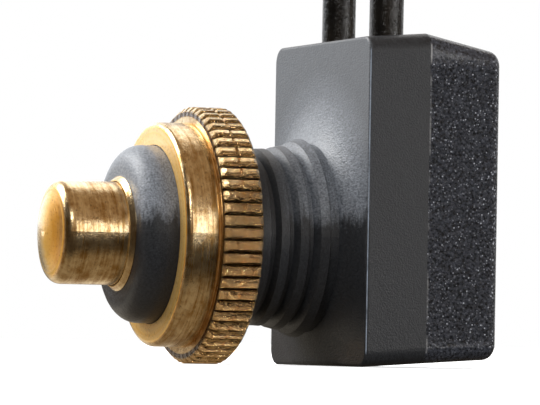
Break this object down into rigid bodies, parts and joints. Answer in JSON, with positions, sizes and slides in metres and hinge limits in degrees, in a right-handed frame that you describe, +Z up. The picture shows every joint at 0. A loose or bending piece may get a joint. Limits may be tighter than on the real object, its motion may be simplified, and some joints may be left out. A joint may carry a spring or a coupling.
{
  "type": "push on push off lamp switch",
  "caption": "Push on, push off lamp switch: threaded moulded nose with a domed brass button and a knurled brass ring nut, moulded box and two wire leads.",
  "frame": {"origin": "middle of the object's bounding box at its base, without the leads; the part rests there on its ring nut's rim and its housing's front bottom edge", "axes": "+Y from the button through the nose to the rear cover, +Z up towards the leads' exits, +X to the right seen from the button"},
  "size_m": [0.0277, 0.0785, 0.0437],
  "materials": {
    "housing_plastic": "satin moulded phenolic",
    "cover_plastic": "coarse moulded grain",
    "brass": "bright turned",
    "natural_nylon": "natural",
    "spring_steel": "drawn",
    "silver_contact": "silver faced",
    "tinned_copper": "tinned strands",
    "fibre": "vulcanised fibre",
    "lead_insulation": "gloss",
    "tie_plastic": "satin"
  },
  "bodies": {
    "switch_body": {"housing": "housing_plastic", "rear_cover": "cover_plastic", "plunger_bush": "brass", "rotor_pin": "spring_steel", "plunger_spring": "spring_steel", "rotor_spring": "spring_steel", "left_terminal": "brass", "right_terminal": "brass", "left_contact": "silver_contact", "right_contact": "silver_contact", "left_conductor": "tinned_copper", "right_conductor": "tinned_copper", "left_lead": "lead_insulation", "right_lead": "lead_insulation", "left_lead_coil": "lead_insulation", "right_lead_coil": "lead_insulation", "left_lead_tip": "tinned_copper", "right_lead_tip": "tinned_copper", "coil_tie": "tie_plastic"},
    "push_group": {"plunger": "brass", "push_driver": "natural_nylon", "driver_clip": "spring_steel"},
    "rotor_group": {"ratchet_rotor": "natural_nylon", "contact_bridge": "brass", "bridge_contacts": "silver_contact", "bridge_washer": "fibre"},
    "nut_group": {"ring_nut": "brass"}
  },
  "joints": [
    {"name": "plunger_push", "type": "slide", "parent": "switch_body", "child": "push_group", "axis": [0, 1, 0], "range_m": [0, 0.0026], "stiffness_N_per_m": 400, "springref_m": -0.001, "deforming": ["plunger_spring"]},
    {"name": "rotor_index", "type": "hinge", "parent": "switch_body", "child": "rotor_group", "pos_m": [0, 0.0095, 0.0086], "axis": [0, 1, 0], "continuous": true},
    {"name": "ring_nut_turn", "type": "hinge", "parent": "switch_body", "child": "nut_group", "pos_m": [0, -0.0045, 0.0086], "axis": [0, 1, 0], "continuous": true}
  ]
}
